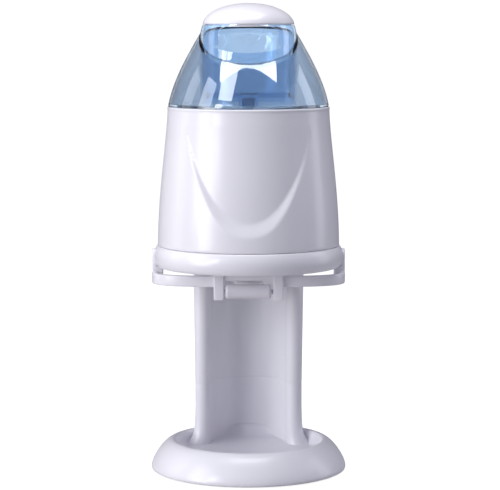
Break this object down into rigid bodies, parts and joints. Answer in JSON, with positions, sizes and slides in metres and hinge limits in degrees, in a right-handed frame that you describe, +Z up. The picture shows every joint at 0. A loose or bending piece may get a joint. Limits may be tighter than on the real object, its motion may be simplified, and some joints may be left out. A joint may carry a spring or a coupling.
{
  "type": "ice cream maker",
  "caption": "Soft-serve ice cream maker: round base with a C-shaped column, turning freezer bowl in a tapered body, clear blue lid with filling tower, and a pull-down dispensing lever.",
  "frame": {"origin": "on the table, at the centre of the round base, under the bowl's and the nozzle's axis", "axes": "+Z up, +X to the right of someone facing the machine, -Y towards that person"},
  "size_m": [0.1878, 0.1878, 0.4481],
  "materials": {
    "white_plastic": "moulded ABS, satin gloss, very slightly lilac white",
    "clear_blue": "transparent blue styrene, polished",
    "base_grey": "moulded, fine matt texture",
    "rubber": "matt rubber",
    "seal": "silicone",
    "steel": "zinc-plated",
    "aluminium": "spun, satin",
    "bronze": "sintered",
    "acetal": "natural acetal",
    "bowl_grey": "moulded",
    "coolant": "frozen gel",
    "switch_black": "moulded nylon",
    "switch_red": "moulded",
    "lead_skin": "PVC"
  },
  "bodies": {
    "frame": {"base_housing": "white_plastic", "base_plate": "base_grey", "foot_1": "rubber", "foot_2": "rubber", "foot_3": "rubber", "foot_4": "rubber", "base_screw_1": "steel", "base_screw_2": "steel", "base_screw_3": "steel", "base_screw_4": "steel", "column": "white_plastic", "cord_gland": "rubber", "switch_bezel": "switch_black", "supply_lead": "lead_skin", "motor_lead": "lead_skin", "collar": "white_plastic", "column_screw_1": "steel", "column_screw_2": "steel", "bearing_pedestal": "white_plastic", "bearing_bush": "bronze", "gear_motor": "steel", "motor_screw_1": "steel", "motor_screw_2": "steel", "valve_body": "white_plastic", "spout_screw_1": "steel", "spout_screw_2": "steel", "outlet_seal": "seal", "star_nozzle": "white_plastic", "return_spring": "steel", "body_housing": "white_plastic", "bowl_well": "white_plastic"},
    "lever": {"bail_lever": "white_plastic", "lever_pin_left": "steel", "lever_pin_right": "steel", "grip_axle": "steel"},
    "grip": {"grip_roller": "white_plastic"},
    "gate": {"valve_gate": "acetal"},
    "bowl": {"bowl_shell": "bowl_grey", "bowl_liner": "aluminium", "bowl_coolant": "coolant", "bowl_rim": "white_plastic", "turntable_gear": "acetal"},
    "pinion": {"motor_pinion": "steel"},
    "lid": {"lid": "clear_blue", "lid_tower": "clear_blue", "lid_gasket": "seal", "paddle": "white_plastic"},
    "cap": {"cap": "white_plastic"},
    "rocker": {"switch_rocker": "switch_red"}
  },
  "joints": [
    {"name": "lever_swing", "type": "hinge", "parent": "frame", "child": "lever", "pos_m": [0, 0, 0.2076], "axis": [1, 0, 0], "range_deg": [0, 25], "stiffness_Nm_per_rad": 0.15, "springref_deg": -34.38},
    {"name": "gate_slide", "type": "slide", "parent": "frame", "child": "gate", "axis": [0, -1, 0], "range_m": [0, 0.0172]},
    {"name": "grip_roll", "type": "hinge", "parent": "lever", "child": "grip", "pos_m": [0, -0.0455, 0.1786], "axis": [1, 0, 0], "continuous": true},
    {"name": "bowl_spin", "type": "hinge", "parent": "frame", "child": "bowl", "pos_m": [0, 0, 0.2446], "axis": [0, 0, 1], "continuous": true},
    {"name": "pinion_spin", "type": "hinge", "parent": "frame", "child": "pinion", "pos_m": [0, 0.0576, 0.2236], "axis": [0, 0, 1], "continuous": true},
    {"name": "lid_lift", "type": "slide", "parent": "frame", "child": "lid", "axis": [0, 0, 1], "range_m": [0, 0.12]},
    {"name": "cap_lift", "type": "slide", "parent": "lid", "child": "cap", "axis": [0, 0, 1], "range_m": [0, 0.04]},
    {"name": "rocker_tilt", "type": "hinge", "parent": "frame", "child": "rocker", "pos_m": [0, 0.0865, 0.1466], "axis": [1, 0, 0], "range_deg": [-7, 7]}
  ],
  "couplings": [
    {"joint": "pinion_spin", "follows": "bowl_spin", "ratio": -5},
    {"joint": "gate_slide", "follows": "lever_swing", "m_per_rad": 0.039}
  ]
}
